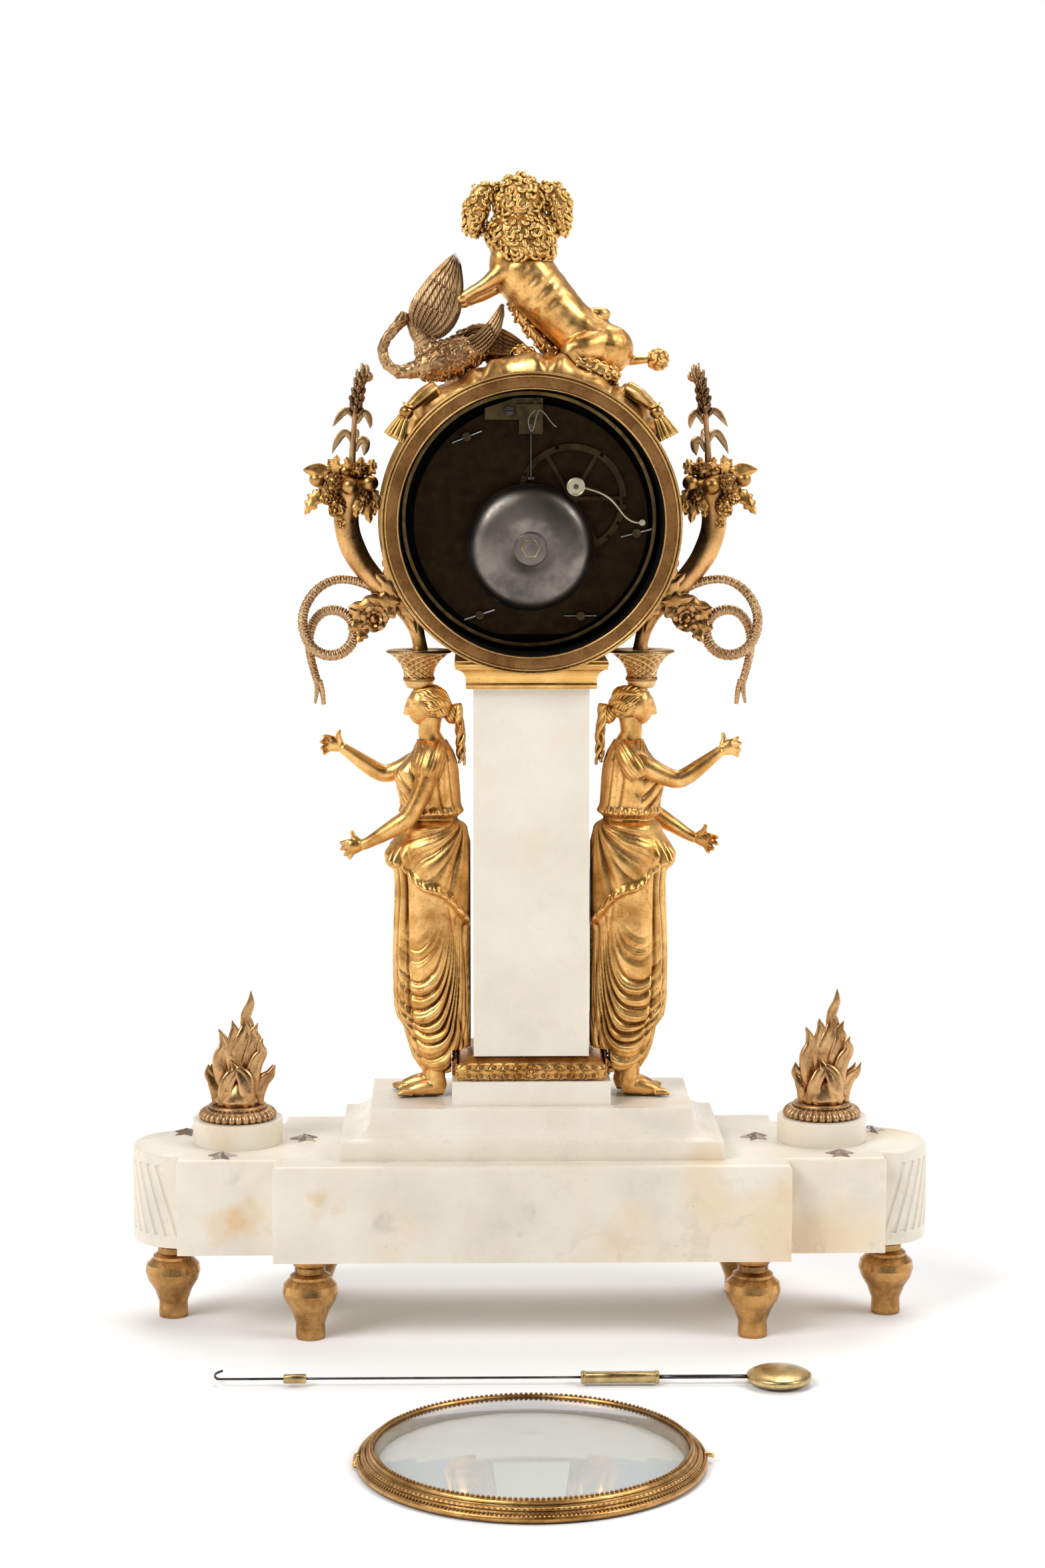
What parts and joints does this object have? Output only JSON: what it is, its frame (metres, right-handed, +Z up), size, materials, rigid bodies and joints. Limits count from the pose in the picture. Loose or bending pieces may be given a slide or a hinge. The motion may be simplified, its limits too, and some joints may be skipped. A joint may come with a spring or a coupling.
{
  "type": "figural mantel clock",
  "caption": "Marble and gilt mantel clock: two draped figures flank a pillar that carries a striking drum movement with an open back.",
  "frame": {"origin": "on the table under the middle of the clock, level with the soles of its six feet", "axes": "+Z up, +Y out of the dial, so the open back faces -Y and +X is the picture's right"},
  "size_m": [0.412, 0.373, 0.588],
  "materials": {
    "white_marble": "polished, with faint grey veins",
    "gilt_bronze": "old gilding, worn at the edges",
    "stippled_gilt": "stippled band between bright bead lines",
    "black_case": "dark sheet metal",
    "iron": "dark wrought iron",
    "movement_brass": "lacquered, tarnished",
    "white_enamel": "gloss enamel",
    "bell_metal": "dull grey bell metal",
    "dark_steel": "dark polished steel",
    "silk": "twisted silk thread",
    "clear_glass": "clear",
    "pendulum_metal": "brass sleeves on a dark wire"
  },
  "bodies": {
    "clock": {"marble_base": "white_marble", "feet": "gilt_bronze", "stepped_pedestal": "white_marble", "plinth_block": "white_marble", "laurel_moulding": "gilt_bronze", "pillar": "white_marble", "capital": "white_marble", "tie_rods": "iron", "marble_discs": "white_marble", "gadrooned_rings": "gilt_bronze", "flame_left": "gilt_bronze", "flame_right": "gilt_bronze", "stars": "gilt_bronze", "drum_case": "black_case", "rear_ring": "stippled_gilt", "front_ring": "gilt_bronze", "back_plate": "movement_brass", "front_plate": "movement_brass", "plate_posts": "movement_brass", "taper_pins": "iron", "dial": "white_enamel", "bell": "bell_metal", "bell_stand": "dark_steel", "suspension_cock": "movement_brass", "silk_loop": "silk", "figure_left": "gilt_bronze", "figure_right": "gilt_bronze", "basket_left": "gilt_bronze", "basket_right": "gilt_bronze", "cornucopia_left": "gilt_bronze", "cornucopia_right": "gilt_bronze", "fruit_and_wheat_left": "gilt_bronze", "fruit_and_wheat_right": "gilt_bronze", "snake_left": "gilt_bronze", "snake_right": "gilt_bronze", "drapery": "gilt_bronze", "swans": "gilt_bronze", "poodle": "gilt_bronze"},
    "minute_arbor": {"cannon_pinion": "dark_steel", "minute_hand": "gilt_bronze"},
    "minute_wheel_body": {"minute_wheel": "movement_brass"},
    "hour_arbor": {"hour_wheel": "movement_brass", "hour_hand": "gilt_bronze"},
    "going_barrel_body": {"going_barrel": "movement_brass"},
    "intermediate_arbor": {"intermediate_wheel": "movement_brass"},
    "centre_arbor": {"centre_wheel": "movement_brass"},
    "third_arbor": {"third_wheel": "movement_brass"},
    "escape_arbor": {"escape_wheel": "movement_brass"},
    "strike_barrel_body": {"strike_barrel": "movement_brass"},
    "count_arbor": {"strike_second_wheel": "movement_brass", "count_wheel": "movement_brass"},
    "pin_arbor": {"pin_wheel": "movement_brass"},
    "locking_arbor": {"locking_wheel": "movement_brass"},
    "fly_arbor": {"fly": "movement_brass"},
    "crutch": {"pallets_and_crutch": "dark_steel"},
    "hammer_body": {"hammer": "dark_steel"},
    "pendulum": {"pendulum_rod": "pendulum_metal", "pendulum_bob": "movement_brass"},
    "bezel": {"bezel_ring": "gilt_bronze", "bezel_glass": "clear_glass"}
  },
  "joints": [
    {"name": "minute_hand_turn", "type": "hinge", "parent": "clock", "child": "minute_arbor", "pos_m": [0, 0, 0.4126], "axis": [0, 1, 0], "continuous": true},
    {"name": "minute_wheel_turn", "type": "hinge", "parent": "clock", "child": "minute_wheel_body", "pos_m": [0, 0, 0.4246], "axis": [0, 1, 0], "continuous": true},
    {"name": "hour_hand_turn", "type": "hinge", "parent": "clock", "child": "hour_arbor", "pos_m": [0, 0, 0.4126], "axis": [0, 1, 0], "continuous": true},
    {"name": "escape_wheel_turn", "type": "hinge", "parent": "clock", "child": "escape_arbor", "pos_m": [0, 0, 0.4411], "axis": [0, 1, 0], "continuous": true},
    {"name": "third_wheel_turn", "type": "hinge", "parent": "clock", "child": "third_arbor", "pos_m": [-0.00858, 0, 0.42783], "axis": [0, 1, 0], "continuous": true},
    {"name": "centre_wheel_turn", "type": "hinge", "parent": "clock", "child": "centre_arbor", "pos_m": [0, 0, 0.4126], "axis": [0, 1, 0], "continuous": true},
    {"name": "intermediate_wheel_turn", "type": "hinge", "parent": "clock", "child": "intermediate_arbor", "pos_m": [-0.00006, 0, 0.3937], "axis": [0, 1, 0], "continuous": true},
    {"name": "going_barrel_turn", "type": "hinge", "parent": "clock", "child": "going_barrel_body", "pos_m": [-0.026, 0, 0.3986], "axis": [0, 1, 0], "continuous": true},
    {"name": "fly_turn", "type": "hinge", "parent": "clock", "child": "fly_arbor", "pos_m": [0.01974, 0, 0.45248], "axis": [0, 1, 0], "continuous": true},
    {"name": "locking_wheel_turn", "type": "hinge", "parent": "clock", "child": "locking_arbor", "pos_m": [0.02847, 0, 0.44744], "axis": [0, 1, 0], "continuous": true},
    {"name": "pin_wheel_turn", "type": "hinge", "parent": "clock", "child": "pin_arbor", "pos_m": [0.03044, 0, 0.43628], "axis": [0, 1, 0], "continuous": true},
    {"name": "count_wheel_turn", "type": "hinge", "parent": "clock", "child": "count_arbor", "pos_m": [0.02049, 0, 0.42442], "axis": [0, 1, 0], "continuous": true},
    {"name": "strike_barrel_turn", "type": "hinge", "parent": "clock", "child": "strike_barrel_body", "pos_m": [0.026, 0, 0.3986], "axis": [0, 1, 0], "continuous": true},
    {"name": "crutch_swing", "type": "hinge", "parent": "clock", "child": "crutch", "pos_m": [0, 0, 0.4606], "axis": [0, 1, 0], "range_deg": [-2.5, 2.5]},
    {"name": "hammer_lift", "type": "hinge", "parent": "clock", "child": "hammer_body", "pos_m": [0.0555, 0, 0.4126], "axis": [0, 1, 0], "range_deg": [0, 12]},
    {"name": "pendulum_pick_up", "type": "slide", "parent": "clock", "child": "pendulum", "axis": [0, 0, 1], "range_m": [0, 0.12]},
    {"name": "bezel_pick_up", "type": "slide", "parent": "clock", "child": "bezel", "axis": [0, 0, 1], "range_m": [0, 0.12]}
  ],
  "couplings": [
    {"joint": "minute_wheel_turn", "follows": "minute_hand_turn", "ratio": -0.33333},
    {"joint": "hour_hand_turn", "follows": "minute_hand_turn", "ratio": 0.083333},
    {"joint": "third_wheel_turn", "follows": "escape_wheel_turn", "ratio": -0.097222},
    {"joint": "centre_wheel_turn", "follows": "escape_wheel_turn", "ratio": 0.0092593},
    {"joint": "intermediate_wheel_turn", "follows": "escape_wheel_turn", "ratio": -0.0015432},
    {"joint": "going_barrel_turn", "follows": "escape_wheel_turn", "ratio": 0.00022046},
    {"joint": "locking_wheel_turn", "follows": "fly_turn", "ratio": -0.125},
    {"joint": "pin_wheel_turn", "follows": "fly_turn", "ratio": 0.015625},
    {"joint": "count_wheel_turn", "follows": "fly_turn", "ratio": -0.0016026},
    {"joint": "strike_barrel_turn", "follows": "fly_turn", "ratio": 0.00022894}
  ]
}
